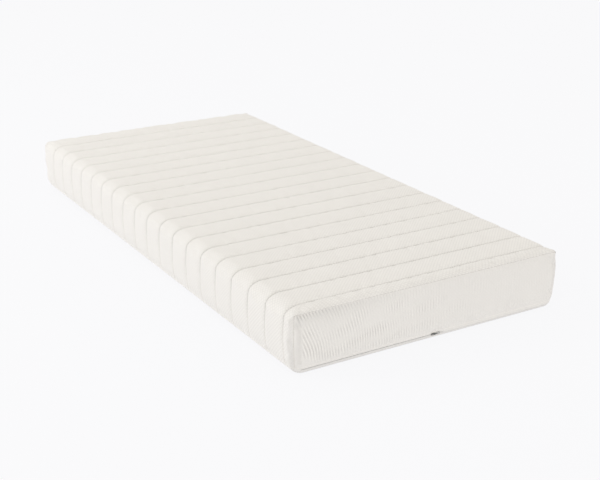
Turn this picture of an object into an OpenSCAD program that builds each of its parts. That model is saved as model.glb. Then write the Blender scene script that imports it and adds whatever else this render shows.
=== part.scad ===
// Single memory foam mattress with a zip-off quilted cover.
// The foam core lies in a shallow base pan. A quilted hood covers the top and all four sides,
// and one zip runs all the way round to join the hood to the pan.
// Origin: middle of the underside. X is the width, Y the length (head end at +Y), Z is up.

/* [Mattress] */
// Overall length, foot end to head end
mattress_l = 1900; // [1800:10:2100]
// Overall width
mattress_w = 900; // [700:10:1800]
// Overall thickness
mattress_h = 182; // [130:1:250]
// Radius of the top's edges along the two long sides
top_r = 36; // [20:1:45]
// Radius of the top's edges along the two ends
end_r = 13; // [12:1:40]
// Radius of the edge round the underside
bottom_r = 12; // [11:1:14]
// Radius of the upright corners, seen from above
corner_r = 20; // [14:1:40]

/* [Cover] */
// Thickness of the knitted ticking
ticking_t = 1.5; // [1:0.1:2]
// Thickness of the polyester wadding under the ticking
wadding_t = 5.6; // [3:0.1:6]
// Thickness of the non-woven backing under the top wadding
backing_t = 1; // [0.5:0.1:1.2]
// Air left between layers that are sewn and not glued
layer_gap = 0.2; // [0.1:0.05:0.3]
// Height of the pan's rim above the ground
rim_h = 10; // [9:0.5:11]

/* [Foam] */
// Thickness of the memory foam layer
memory_t = 40; // [20:1:60]
// Thickness of the knitted sleeve round the foam
sleeve_t = 1; // [0.5:0.1:1.5]
// Clearance between the foam core and the cover
core_gap = 0.4; // [0.4:0.1:1]

/* [Quilting] */
// Distance from one quilting line to the next
stitch_pitch = 97; // [60:1:150]
// Number of quilting lines
stitch_count = 19; // [8:1:24]
// Distance from the foot end to the first quilting line
first_stitch = 45; // [40:0.5:60]
// Thickness of a row of thread as it stands on the fabric
thread_t = 0.4; // [0.3:0.1:0.6]
// Width of a row of thread
thread_w = 0.8; // [0.6:0.1:1.2]

/* [Zip] */
// Height of the open slot between the pan's rim and the hood's hem
slot_h = 8; // [8:0.5:9]
// Height of one row of coil elements
coil_h = 2.1; // [1.8:0.1:2.2]
// Depth of a row of coil elements, from front to back
coil_t = 1.9; // [1.6:0.1:2]
// Distance between the two rows of coil elements
coil_gap = 1.4; // [1.2:0.1:1.6]
// Thickness of the woven zip tape
tape_t = 0.6; // [0.4:0.1:0.7]
// Length of the slider
slider_l = 10; // [9:0.5:12]
// Height of the slider's plates
slider_h = 7; // [6:0.1:7]
// Thickness of the slider's plates
slider_t = 0.8; // [0.6:0.1:0.9]
// Length of the pull from its pin to its end
pull_l = 26; // [18:1:35]
// Width of the pull
pull_w = 6; // [5.4:0.1:6.4]
// Diameter of the pin that the pull turns on
pull_pin_d = 1; // [0.9:0.1:1]

/* [Label] */
// Width of the blank care label
label_w = 60; // [40:1:80]
// Height of the blank care label
label_h = 40; // [30:1:60]

/* [Hidden] */
$fn = 64;

half_l = mattress_l / 2;
half_w = mattress_w / 2;
cut = 30;                                   // how far a cutting block reaches past what it cuts

// Depths below the outer face of the cover
wadding_in = ticking_t + layer_gap;
wadding_out = wadding_in + wadding_t;
backing_in = wadding_out + layer_gap;
cover_t = backing_in + backing_t;
core_in = cover_t + core_gap;

// Heights
hem_z = rim_h + slot_h;
zip_z = rim_h + slot_h / 2;
lower_coil_z = zip_z - coil_gap / 2 - coil_h;
upper_coil_z = zip_z + coil_gap / 2;
tape_top_z = hem_z + 10;
wadding_z = tape_top_z + layer_gap;
seam_rise = 3;                              // how far up its rounded edge an end seam lies
seam_z = mattress_h - end_r + seam_rise;
core_z = ticking_t + core_gap;
core_top_z = mattress_h - core_in;
memory_z = core_top_z - sleeve_t - layer_gap - memory_t;
core_bottom_r = 8;
slit_in = 60;                               // from the mattress's sides to the sleeve's slit
slit_w = 1.2;
rim_stitch_z = rim_h - 3.4;
hem_stitch_z = hem_z + 3;

// Zip, measured from the outer face of the cover inwards
coil_in = 1.3;
slider_front = 0.2;
slider_clear = 0.3;
slider_back = coil_in + coil_t + slider_clear;
tape_in = ticking_t;
foot_y = -half_l;

// Where the two ends of the zip meet, to the +X side of the parked slider
gap_start = slider_l / 2 + 0.5;
gap_end = gap_start + 18;
stop_l = 2.5;
stop_wrap = 0.1;                            // how far a stop stands out round the row

// Bail on the slider's face and the pull that hangs on it
bail_l = 6.4;
bail_h = 2;
bail_t = 1.2;
bail_reach = 2.6;
pin_depth = -0.55;                          // pin centre, outside the cover's face
pull_t = 1;
arm_w = 1.2;
eye_h = 2.8;
eye_l = 4.2;
tab_hole_d = 2.4;

// A section with one radius along its top edges and another along its bottom edges
module rounded_profile(width, z0, z1, r_top, r_bottom) {
    mid = (z0 + z1) / 2;
    translate([-width / 2, z0 + r_bottom])
        square([width, z1 - z0 - r_top - r_bottom]);
    translate([-width / 2 + r_bottom, z0])
        square([width - 2 * r_bottom, mid - z0]);
    translate([-width / 2 + r_top, mid])
        square([width - 2 * r_top, z1 - mid]);
    for (side = [-1, 1]) {
        translate([side * (width / 2 - r_top), z1 - r_top])
            circle(r = r_top);
        translate([side * (width / 2 - r_bottom), z0 + r_bottom])
            circle(r = r_bottom);
    }
}

// The outline seen from above
module plan(length, width, r) {
    square([width, length - 2 * r], center = true);
    square([width - 2 * r, length], center = true);
    for (sx = [-1, 1], sy = [-1, 1])
        translate([sx * (width / 2 - r), sy * (length / 2 - r)])
            circle(r = r);
}

// A block with every edge rounded: r_top along its long sides, r_end along its ends
module rounded_block(length, width, z0, z1, r_top, r_end, r_bottom, r_corner) {
    intersection() {
        rotate([90, 0, 0])
            linear_extrude(length + 2, center = true)
                rounded_profile(width, z0, z1, r_top, r_bottom);
        rotate([90, 0, 90])
            linear_extrude(width + 2, center = true)
                rounded_profile(length, z0, z1, r_end, r_bottom);
        translate([0, 0, z0 - 1])
            linear_extrude(z1 - z0 + 2)
                plan(length, width, r_corner);
    }
}

// The mattress's outer form, moved inwards by depth
module outer_form(depth) {
    rounded_block(mattress_l - 2 * depth, mattress_w - 2 * depth, depth, mattress_h - depth,
                  top_r - depth, end_r - depth, bottom_r - depth, corner_r - depth);
}

// One layer of the cover, between two depths
module layer(from_depth, to_depth) {
    difference() {
        outer_form(from_depth);
        outer_form(to_depth);
    }
}

// The foam core's form, moved inwards by depth
module core_form(depth) {
    rounded_block(mattress_l - 2 * (core_in + depth), mattress_w - 2 * (core_in + depth),
                  core_z + depth, core_top_z - depth,
                  top_r - core_in - depth, end_r - core_in - depth, core_bottom_r - depth,
                  corner_r - core_in - depth);
}

// Everything between two heights
module slab(z0, z1) {
    translate([-half_w - cut, -half_l - cut, z0])
        cube([mattress_w + 2 * cut, mattress_l + 2 * cut, z1 - z0]);
}

// The end wall's share of the cover: mitred at the upright corners, up to the end seam
module end_zone(side, z0) {
    reach = 24;
    translate([0, 0, z0])
        linear_extrude(seam_z - z0)
            polygon([
                [-half_w - cut, side * (half_l + cut)],
                [half_w + cut, side * (half_l + cut)],
                [half_w - reach, side * (half_l - reach)],
                [-half_w + reach, side * (half_l - reach)]
            ]);
}

// One layer of the hood without its end walls
module hood_layer(from_depth, to_depth, z0) {
    difference() {
        intersection() {
            layer(from_depth, to_depth);
            slab(z0, mattress_h + cut);
        }
        for (side = [-1, 1])
            end_zone(side, z0 - 1);
    }
}

// One layer of an end wall
module end_layer(side, from_depth, to_depth, z0) {
    intersection() {
        layer(from_depth, to_depth);
        end_zone(side, z0);
    }
}

// A level band round the zip, with upright faces
module zip_band(from_depth, to_depth, z0, z1) {
    translate([0, 0, z0])
        linear_extrude(z1 - z0)
            difference() {
                plan(mattress_l - 2 * from_depth, mattress_w - 2 * from_depth,
                     corner_r - from_depth);
                plan(mattress_l - 2 * to_depth, mattress_w - 2 * to_depth, corner_r - to_depth);
            }
}

// One row of coil elements, open where the two ends of the zip meet
module coil_row(z0) {
    difference() {
        zip_band(coil_in, coil_in + coil_t, z0, z0 + coil_h);
        translate([gap_start, foot_y - 1, z0 - 1])
            cube([gap_end - gap_start, 10, coil_h + 2]);
    }
}

// The two metal stops of one row, one at each end of the coil
module row_stops(z0) {
    for (x = [gap_start, gap_end - stop_l])
        translate([x, foot_y + coil_in - stop_wrap, z0])
            cube([stop_l, coil_t + 2 * stop_wrap, coil_h]);
}

// The raised line that a row of thread makes on the outer face
module thread_layer() {
    layer(-layer_gap / 2 - thread_t, -layer_gap / 2);
}

module base_panel() {
    color("whitesmoke")
        intersection() {
            layer(0, ticking_t);
            slab(-cut, rim_h);
        }
}

module rim_topstitch() {
    color("gainsboro")
        intersection() {
            thread_layer();
            slab(rim_stitch_z, rim_stitch_z + thread_w);
        }
}

module lower_zip_tape() {
    color("white")
        intersection() {
            layer(tape_in + layer_gap, tape_in + layer_gap + tape_t);
            slab(4, lower_coil_z);
        }
}

module lower_zip_coil() {
    color("white")
        coil_row(lower_coil_z);
}

module lower_zip_stops() {
    color("dimgray")
        row_stops(lower_coil_z);
}

module support_foam() {
    color("lemonchiffon")
        intersection() {
            core_form(sleeve_t + layer_gap);
            slab(0, memory_z);
        }
}

module memory_foam() {
    color("cornsilk")
        intersection() {
            core_form(sleeve_t + layer_gap);
            slab(memory_z, mattress_h);
        }
}

// The slit in the sleeve's underside through which the foam was put in
module sleeve_slit(width, z0, z1) {
    translate([0, foot_y + slit_in, (z0 + z1) / 2])
        cube([mattress_w - 2 * slit_in + width, width, z1 - z0], center = true);
}

module foam_sleeve() {
    color("snow")
        difference() {
            core_form(0);
            core_form(sleeve_t);
            sleeve_slit(slit_w, core_z - 1, core_z + sleeve_t + 1);
        }
}

module sleeve_closing_seam() {
    color("gainsboro")
        sleeve_slit(slit_w - layer_gap, core_z, core_z + sleeve_t);
}

module top_panel() {
    color("ivory")
        hood_layer(0, ticking_t, hem_z);
}

module head_end_panel() {
    color("ivory")
        end_layer(1, 0, ticking_t, hem_z);
}

module foot_end_panel() {
    color("ivory")
        end_layer(-1, 0, ticking_t, hem_z);
}

module top_wadding() {
    color("white")
        hood_layer(wadding_in, wadding_out, wadding_z);
}

module head_end_wadding() {
    color("white")
        end_layer(1, wadding_in, cover_t, wadding_z);
}

module foot_end_wadding() {
    color("white")
        end_layer(-1, wadding_in, cover_t, wadding_z);
}

module quilt_backing() {
    color("snow")
        hood_layer(backing_in, cover_t, wadding_z);
}

module quilting_threads() {
    color("gainsboro")
        intersection() {
            thread_layer();
            for (i = [0:stitch_count - 1])
                translate([-half_w - cut, foot_y + first_stitch + i * stitch_pitch - thread_w / 2,
                           hem_stitch_z + 2])
                    cube([mattress_w + 2 * cut, thread_w, mattress_h]);
        }
}

module corner_seams() {
    color("gainsboro")
        intersection() {
            thread_layer();
            for (sx = [-1, 1], sy = [-1, 1])
                translate([sx * half_w, sy * half_l, hem_stitch_z + 2])
                    rotate([0, 0, sx * sy * 45])
                        translate([-cut, -thread_w / 2, 0])
                            cube([2 * cut, thread_w, seam_z - hem_stitch_z - 4]);
        }
}

module end_seams() {
    color("gainsboro")
        intersection() {
            thread_layer();
            slab(seam_z - thread_w / 2, seam_z + thread_w / 2);
            for (side = [-1, 1])
                translate([0, side * half_l, seam_z])
                    cube([mattress_w - 2 * corner_r, cut, cut], center = true);
        }
}

module hem_topstitch() {
    color("gainsboro")
        intersection() {
            thread_layer();
            slab(hem_stitch_z, hem_stitch_z + thread_w);
        }
}

module upper_zip_tape() {
    color("white")
        intersection() {
            layer(tape_in + layer_gap, tape_in + layer_gap + tape_t);
            slab(upper_coil_z + coil_h, tape_top_z);
        }
}

module upper_zip_coil() {
    color("white")
        coil_row(upper_coil_z);
}

module upper_zip_stops() {
    color("dimgray")
        row_stops(upper_coil_z);
}

module care_label() {
    color("white")
        translate([-label_w / 2, half_l + layer_gap / 2, hem_stitch_z + 6])
            cube([label_w, thread_t, label_h]);
}

module label_stitches() {
    inset = 2;
    color("gainsboro")
        translate([0, half_l + layer_gap + thread_t, hem_stitch_z + 6 + label_h / 2])
            rotate([-90, 0, 0])
                linear_extrude(thread_t)
                    difference() {
                        square([label_w - 2 * inset, label_h - 2 * inset], center = true);
                        square([label_w - 2 * inset - 2 * thread_w,
                                label_h - 2 * inset - 2 * thread_w], center = true);
                    }
}

// The slider's outline seen from the front: broad shoulders and a narrower tail
module slider_outline() {
    shoulder_r = 1.5;
    tail_h = slider_h - 2;
    nose_h = slider_h - 2 * shoulder_r;
    translate([-slider_l / 2, -tail_h / 2])
        square([slider_l - shoulder_r, tail_h]);
    translate([-1, -slider_h / 2])
        square([slider_l / 2 + 1 - shoulder_r, slider_h]);
    translate([-1, -nose_h / 2])
        square([slider_l / 2 + 1, nose_h]);
    for (side = [-1, 1])
        translate([slider_l / 2 - shoulder_r, side * (slider_h / 2 - shoulder_r)])
            circle(r = shoulder_r);
}

// A plate that stands in the zip's plane, from one depth to another
module zip_plate(from_depth, to_depth) {
    translate([0, foot_y + to_depth, zip_z])
        rotate([90, 0, 0])
            linear_extrude(to_depth - from_depth)
                children();
}

module zip_slider() {
    web_h = coil_gap - 2 * slider_clear;
    color("black")
        union() {
            zip_plate(slider_front, slider_front + slider_t)
                slider_outline();
            zip_plate(slider_back, slider_back + slider_t)
                slider_outline();
            zip_plate(slider_front, slider_back + slider_t)
                square([slider_l - 4, web_h], center = true);
            zip_plate(slider_front - bail_reach, slider_front + slider_t / 2)
                for (side = [-1, 1])
                    translate([side * (bail_l - bail_t) / 2, 0])
                        square([bail_t, bail_h], center = true);
            zip_plate(slider_front - bail_reach, slider_front - bail_reach + bail_t)
                square([bail_l, bail_h], center = true);
        }
}

module zip_pull() {
    arm_z = (eye_h + arm_w) / 2;
    color("black")
        union() {
            translate([0, foot_y + pin_depth, zip_z])
                cylinder(d = pull_pin_d, h = eye_h + arm_w, center = true);
            zip_plate(pin_depth - pull_t / 2, pin_depth + pull_t / 2)
                difference() {
                    union() {
                        for (side = [-1, 1])
                            translate([eye_l / 2, side * arm_z])
                                square([eye_l, arm_w], center = true);
                        translate([eye_l, -pull_w / 2])
                            square([pull_l - eye_l - pull_w / 2, pull_w]);
                        translate([pull_l - pull_w / 2, 0])
                            circle(d = pull_w);
                    }
                    translate([pull_l - pull_w / 2, 0])
                        circle(d = tab_hole_d);
                }
            for (side = [-1, 1])
                translate([0, foot_y + pin_depth, zip_z + side * arm_z])
                    cylinder(d = pull_t, h = arm_w, center = true);
        }
}

base_panel();
rim_topstitch();
lower_zip_tape();
lower_zip_coil();
lower_zip_stops();
support_foam();
memory_foam();
foam_sleeve();
sleeve_closing_seam();
top_panel();
head_end_panel();
foot_end_panel();
top_wadding();
head_end_wadding();
foot_end_wadding();
quilt_backing();
quilting_threads();
corner_seams();
end_seams();
hem_topstitch();
upper_zip_tape();
upper_zip_coil();
upper_zip_stops();
care_label();
label_stitches();
zip_slider();
zip_pull();
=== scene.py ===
# Visual model of a single memory foam mattress with a quilted cover that zips off.
# Every soft layer is built from one outline, moved inwards by its depth below the outer face. All lengths
# are in metres, in the frame of the CAD model: X is the width, the foot end is at -Y, Z is up.
import math

import bpy
import numpy as np
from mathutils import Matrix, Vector
from mathutils.bvhtree import BVHTree


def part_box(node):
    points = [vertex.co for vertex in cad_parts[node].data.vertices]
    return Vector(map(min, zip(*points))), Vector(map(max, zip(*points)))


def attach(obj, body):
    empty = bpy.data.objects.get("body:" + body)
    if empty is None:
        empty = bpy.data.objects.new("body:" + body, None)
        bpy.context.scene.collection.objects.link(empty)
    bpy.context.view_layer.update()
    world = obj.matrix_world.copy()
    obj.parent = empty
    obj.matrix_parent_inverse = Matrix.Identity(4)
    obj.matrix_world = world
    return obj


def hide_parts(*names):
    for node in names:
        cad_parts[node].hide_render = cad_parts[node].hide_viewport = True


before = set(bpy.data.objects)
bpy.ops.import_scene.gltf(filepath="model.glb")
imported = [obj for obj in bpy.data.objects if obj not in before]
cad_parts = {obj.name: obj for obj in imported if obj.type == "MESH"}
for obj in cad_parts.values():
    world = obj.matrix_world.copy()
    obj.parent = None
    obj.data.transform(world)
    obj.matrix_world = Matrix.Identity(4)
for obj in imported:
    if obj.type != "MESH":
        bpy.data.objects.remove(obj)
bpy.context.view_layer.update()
scene = bpy.context.scene

MM = 0.001
QUARTER = math.pi / 2
EVEN = 1e-6  # numbers closer than this are the same

# Sizes that come from the CAD model
HALF_W, HALF_L, TOP_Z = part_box("top_panel")[1]
HEM_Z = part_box("top_panel")[0].z
RIM_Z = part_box("base_panel")[1].z
ZIP_Z = (HEM_Z + RIM_Z) / 2

# Form of the cover
SIDE_ROLL = (42 * MM, 28 * MM)  # rolled edge along a long side of the top: how far in, how far down
TIGHT_ROLL = 0.95  # share of that roll that is left at the corners
TIGHT_RUN = 140 * MM  # how far from an end it begins to tighten
END_ROLL = (28 * MM, 9 * MM)  # the edge along an end
END_ARC = math.pi / 4 * (END_ROLL[0] + END_ROLL[1])
SIDE_TOP, SEAM_Z = TOP_Z - SIDE_ROLL[1], TOP_Z - END_ROLL[1]  # where the upright walls begin
FLAT_X, FLAT_Y = HALF_W - SIDE_ROLL[0], HALF_L - END_ROLL[0]  # the flat part of the top
CORNER_R = 20 * MM  # upright corners, seen from above
FOOT_CORNER_R = 24 * MM  # the same corners near the ground, where they are softer
SIDE_FOOT = (24 * MM, 36 * MM)  # rounding under a long side: how far in, how far up
END_FOOT = (14 * MM, 14 * MM)  # the same under an end
TICKING_T = 1.5 * MM
WADDING_IN, WADDING_OUT = 3.2 * MM, 7.3 * MM
BACKING_IN, BACKING_OUT = 7.5 * MM, 8.5 * MM
PITCH = 97 * MM  # from one quilting line to the next
FIRST_LINE = 45 * MM - HALF_L  # nearest to the foot end
LINES = FIRST_LINE + PITCH * np.arange(19)
LAST_LINE = LINES[-1]
HEM_STITCH = 3 * MM  # height of the hem's stitching over the hem
RIM_STITCH_Z = 6.6 * MM

# How far the quilting stands out and sinks in
TOP_PUFF, ROLL_PUFF, WALL_PUFF = 1.7 * MM, 2.9 * MM, 1.3 * MM
TOP_SINK, WALL_SINK = 1.2 * MM, 0.6 * MM
CREASE, CREASE_WIDTH = 1.5 * MM, 2.2 * MM
UNEVEN = 0.5 * MM  # how far hand-laid wadding rises and falls
CALMED = 0.8  # share of that which is missing at the ends
WAFFLE = 8 * MM  # from one diagonal line of the knit to the next
RIB_PITCH, RIB_HEIGHT = 9.6 * MM, 1.1 * MM  # slanted ribs on the end walls
GATHER_DEPTH, GATHER_RUN = 3.4 * MM, 26 * MM  # the notches under the end seams, and how far down they go
SIDE_BULGE, END_BULGE = 6.5 * MM, 4.5 * MM
CORNER_DROP, DROP_REACH = 5 * MM, 55 * MM  # how far the top hangs down at its corners
HOLD = 18 * MM  # height over the hem at which a wall is free to stand out
SWELL_CAP = 2.2 * MM  # the most that the cloth simulation may move a point
# The fabric beside the zip thins out to a lip that lies between the slider's front plate and the coil
LIP_IN, LIP_T, LIP_REACH = 1.06 * MM, 0.16 * MM, 2.6 * MM
LIP_GAP = 0.6 * MM  # half of the open slot
HEM_DROP = 5.4 * MM  # how far the hem comes down over the closed zip
# Where the slot is open at the foot end, and how long the hem takes to close it on both sides
SLOT_LEFT, LEFT_RUN = -438.5 * MM, 10 * MM
SLOT_RIGHT, RIGHT_RUN = 70 * MM, 50 * MM


def even(half, count):
    """Numbers an equal step apart, from -half to half."""
    return np.linspace(-1, 1, count) * half


def smooth(t):
    t = np.clip(t, 0.0, 1.0)
    return t * t * (3 - 2 * t)


def unit(vectors):
    return vectors / np.linalg.norm(vectors, axis=1)[:, None]


def bell(distance, width):
    """1 on a line, falling off to nothing beside it."""
    return np.exp(-((distance / width) ** 2))


def up_wall(z, top):
    """0 at the hem and 1 at the top."""
    return np.clip((z - HEM_Z) / (top - HEM_Z), 0, 1)


def near_end(y):
    """0 along the middle of the mattress, rising to 1 at its ends."""
    return smooth((np.abs(y) - HALF_L + TIGHT_RUN) / TIGHT_RUN)


# ---- outline and rings


class Outline:
    """The stations round the mattress: columns along both ends, rows along both sides, arcs at the corners.
    Rows up to keep from the middle stay where they are when the outline shrinks."""

    def __init__(self, columns, rows, arc=12, keep=2 * MM - FIRST_LINE):
        self.columns, self.rows, self.arc, self.keep = np.asarray(columns), np.asarray(rows), arc, keep
        self.size = len(self.columns), len(self.rows)
        turn = np.linspace(0, QUARTER, arc + 1)[1:-1]
        quarter = turn / QUARTER
        # how far round the corner each station is: 0 on a long side, 1 on an end
        self.endness = self.lay([1, 0, 1, 0], [1 - quarter, quarter] * 2)
        self.count = len(self.endness)
        angle = self.lay([-QUARTER, 0, QUARTER, math.pi], [turn + k * QUARTER for k in (-1, 0, 1, 2)])
        self.outwards = np.column_stack([np.cos(angle), np.sin(angle), np.zeros(self.count)])
        self.normal = self.outwards[:, :2]
        self.blend = np.sin(self.endness * QUARTER) ** 2
        self.level_blend = smooth(self.endness / 0.7)
        ends = near_end(self.lay([1, self.rows, 1, self.rows[::-1]], [1] * 4))
        self.tight = 1 - (1 - TIGHT_ROLL) * ends
        self.calm = 1 - CALMED * ends
        # a coordinate that grows round the outline, the same for coarse and fine outlines
        a, b, c = self.columns[-1], self.rows[-1], 40 * MM
        starts = np.cumsum([0, 2 * a + c, 2 * b + c, 2 * a + c])
        runs = [self.columns + a, self.rows + b, self.columns + a, b - self.rows[::-1]]
        self.s = self.lay([o + run for o, run in zip(starts, runs)],
                          [o + end + quarter * c for o, end in zip(starts, [2 * a, 2 * b] * 2)])
        self.around = 4 * (a + b + c)

    def lay(self, runs, corners):
        """A value for each station, from those of the four straight runs and the four corners."""
        parts = []
        for k in range(4):
            parts += [np.broadcast_to(runs[k], self.size[k % 2]), np.broadcast_to(corners[k], self.arc - 1)]
        return np.concatenate(parts)

    def numbers(self, rings, first=0):
        """Point numbers of that many rings."""
        return [first + k * self.count + np.arange(self.count) for k in range(rings)]

    def grid(self, z):
        """The points of the flat grid, at one height."""
        x, y = np.meshgrid(self.columns, self.rows)
        return np.column_stack([x.ravel(), y.ravel(), np.full(x.size, z)])

    def flat_indices(self):
        """For each station, the point at the grid's edge that it starts from."""
        number = np.arange(self.size[0] * self.size[1]).reshape(self.size[1], -1)
        runs = [number[0], number[:, -1], number[-1, ::-1], number[::-1, 0]]
        return self.lay(runs, [run[-1] for run in runs])

    def places(self, half_x, half_y, r):
        """Where the stations are on a rounded rectangle."""
        x_end, y_end, keep = half_x - r, half_y - r, self.keep
        xs = self.columns * (x_end / self.columns[-1])
        y = np.abs(self.rows)
        past = keep + (y - keep) * (y_end - keep) / (self.rows[-1] - keep)
        ys = np.sign(self.rows) * np.where(y > keep, past, y)
        x = self.lay([xs, half_x, xs[::-1], -half_x], [x_end, x_end, -x_end, -x_end])
        y = self.lay([-half_y, ys, half_y, ys[::-1]], [-y_end, y_end, y_end, -y_end])
        on_arc = (self.endness > 0) & (self.endness < 1)
        return np.stack([x, y], axis=1) + self.normal * np.where(on_arc, r, 0)[:, None]


class Ring:
    """One level line of the outer form. side and end say, for the long sides and for the ends, how far in it
    lies, how high, and how much it faces outwards and upwards. r is the radius of its corners and turned is
    how much that radius shrinks with depth."""

    def __init__(self, level, side, end, r, turned):
        self.level, self.side, self.end, self.r, self.turned = level, side, end, r, turned

    def mix(self, outline, k):
        return self.side[k] * (1 - outline.blend) + self.end[k] * outline.blend

    def height(self, outline):
        """The height at each station. The roll along the sides is tighter near the corners."""
        if self.level <= 1:
            side = TOP_Z - (TOP_Z - self.side[1]) * outline.tight
        else:
            side = self.side[1] + SIDE_ROLL[1] * (1 - outline.tight) * up_wall(self.side[1], SIDE_TOP)
        return side * (1 - outline.level_blend) + self.end[1] * outline.level_blend

    def facing(self, outline):
        out, up = self.mix(outline, 2), self.mix(outline, 3)
        return unit(np.column_stack([out[:, None] * outline.normal, up]))

    def points(self, outline, depth, rise=0.0):
        r = max(self.r - depth * self.turned, 0.2 * MM) if self.r > 0 else 0.0
        half_x = HALF_W - self.side[0] - depth * self.side[2]
        half_y = HALF_L - self.end[0] - depth * self.end[2]
        xy = outline.places(half_x, half_y, r)
        if 0 < self.level <= 1:
            xy[:, 0] += np.sign(xy[:, 0]) * self.side[0] * (1 - outline.tight) * (1 - outline.blend)
        z = self.height(outline) - depth * self.mix(outline, 3)
        lift = np.broadcast_to(rise, len(xy))[:, None] * self.facing(outline)
        return np.column_stack([xy, z]) + lift


def ring_side(inwards, z, out, up):
    size = math.hypot(out, up)
    return inwards, z, out / size, up / size


def rounded(a, across, along, z):
    """One side of a ring on a quarter ellipse that starts level (0) and ends upright (a quarter turn)."""
    s, c = math.sin(a), math.cos(a)
    return ring_side(across * (1 - s), z - along * (1 - c), along * s, across * c)


def roll_ring(a):
    side, end = rounded(a, *SIDE_ROLL, TOP_Z), rounded(a, *END_ROLL, TOP_Z)
    return Ring(a / QUARTER, side, end, CORNER_R * math.sin(a), math.sin(a))


def upright(foot, z, height=None):
    """One side of a ring on the wall, which curves in below the height of its foot."""
    across, up = foot
    s = min(max(1 - z / up, 0.0), 1.0)
    c = math.cos(math.asin(s))
    return ring_side(across * (1 - c), z if height is None else height, up * c, -across * s)


def wall_corner_r(z):
    return CORNER_R + (FOOT_CORNER_R - CORNER_R) * (1 - np.clip(z / SEAM_Z, 0, 1)) ** 1.5


def wall_ring(level, z_side, z_end, end_heights=None):
    side, end = upright(SIDE_FOOT, z_side), upright(END_FOOT, z_end, end_heights)
    return Ring(level, side, end, wall_corner_r(z_end), 1.0)


def foot_ring(z):
    """A ring of the base pan, at one height all round."""
    side, end = upright(SIDE_FOOT, z), upright(END_FOOT, z)
    return Ring(3.0, side, end, wall_corner_r(RIM_Z) - end[0], end[2])


# ---- meshes


def new_object(name, verts, faces, uv=None):
    """uv holds each point's place in the flat cut, and its relief if it has one."""
    mesh = bpy.data.meshes.new(name)
    mesh.from_pydata([tuple(v) for v in verts], [], [tuple(f) for f in faces])
    mesh.validate()
    if uv is not None:
        layer = mesh.uv_layers.new(name="Knit")
        index = np.zeros(len(mesh.loops), np.int32)
        mesh.loops.foreach_get("vertex_index", index)
        layer.data.foreach_set("uv", np.asarray(uv, np.float32)[index, :2].ravel())
        if uv.shape[1] > 2:
            relief = mesh.attributes.new("relief", "FLOAT", "POINT")
            relief.data.foreach_set("value", uv[:, 2].astype(np.float32))
    mesh.shade_smooth()
    mesh.set_sharp_from_angle(angle=math.radians(55))
    return to_scene(name, mesh)


def to_scene(name, data):
    obj = bpy.data.objects.new(name, data)
    scene.collection.objects.link(obj)
    return obj


def grid_faces(nx, ny, first=0, down=False):
    corners = (nx, nx + 1, 1, 0) if down else (0, 1, nx + 1, nx)
    starts = [first + j * nx + i for j in range(ny - 1) for i in range(nx - 1)]
    return [tuple(start + c for c in corners) for start in starts]


def loft(numbers, used=None):
    """Faces between rings of point numbers. used says which stations belong."""
    faces = []
    for lower, upper in zip(numbers[:-1], numbers[1:]):
        for i in range(len(lower)):
            k = (i + 1) % len(lower)
            if used is not None and not (used[i] and used[k]):
                continue
            face = [lower[i], upper[i], upper[k], lower[k]]
            if face[0] == face[3]:
                face = face[:3]
            if face[1] == face[2]:
                face = [face[0], face[1], face[3]]
            if len(set(face)) == len(face):
                faces.append(tuple(face))
    return faces


def closed_shell(outer, inner, faces, uv=None):
    """Both faces of a layer and the narrow ones along its free edges. uv is for each of the two."""
    n = len(outer)
    uses = {(a, b): True for f in faces for a, b in zip(f, f[1:] + f[:1])}
    rim = [(b, a, a + n, b + n) for a, b in uses if (b, a) not in uses]
    back = [tuple(i + n for i in reversed(f)) for f in faces]
    return np.vstack([outer, inner]), list(faces) + back + rim, None if uv is None else np.vstack([uv, uv])


def drop_unused(verts, faces, uv):
    used = np.unique(np.concatenate([np.array(f) for f in faces]))
    number = np.full(len(verts), -1)
    number[used] = np.arange(len(used))
    return verts[used], [tuple(int(number[i]) for i in f) for f in faces], uv[used]


def piece(name, body, look, cad, verts, faces, uv=None):
    """A finished piece. look is its material and a slot name, which is not used; cad is the node that it
    replaces.
    """
    obj = new_object(name, verts, faces, uv)
    obj.data.materials.append(look[0])
    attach(obj, body)
    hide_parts(cad)
    return obj


def level_uv(verts):
    return np.column_stack([verts[:, 0], verts[:, 1] + verts[:, 2]])


# ---- the hood's relief


def past_lines(y):
    """How far a row is past the outermost quilting line, and less than 0 between the lines."""
    return np.maximum(FIRST_LINE - y, y - LAST_LINE)


def end_strip(y):
    """The width of the strip without quilting at the row's end."""
    return np.where(y < 0, HALF_L + FIRST_LINE, HALF_L - LAST_LINE)


def channel(y, far, beyond):
    """0 on a quilting line or seam and 1 half way between. far and beyond count past the outermost line."""
    inside = np.abs(np.sin(math.pi * (y - FIRST_LINE) / PITCH))
    outside = np.sin(math.pi * np.clip(far / np.maximum(far + beyond, EVEN), 0, 1))
    return np.where(past_lines(y) <= 0, inside, outside)


def line_distance(y):
    """How far a point is from the nearest quilting line."""
    near = np.abs((y - FIRST_LINE + PITCH / 2) % PITCH - PITCH / 2)
    return np.where(past_lines(y) > 0, past_lines(y), near)


rng = np.random.default_rng(11)
WAVES = [(rng.uniform(0, 2 * math.pi), rng.uniform(8, 34), rng.uniform(0, 2 * math.pi)) for _ in range(14)]


def unevenness(x, y):
    """A slow, irregular rise and fall between -1 and 1, as hand-laid wadding has."""
    total = np.zeros(np.broadcast(x, y).shape)
    for turn, rate, phase in WAVES:
        total += np.sin(rate * (x * math.cos(turn) + y * math.sin(turn)) + phase)
    return total / math.sqrt(len(WAVES) * 2)


def corner_drop(x, y):
    return CORNER_DROP * bell(np.hypot(HALF_W - np.abs(x), HALF_L - np.abs(y)), DROP_REACH)


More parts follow.
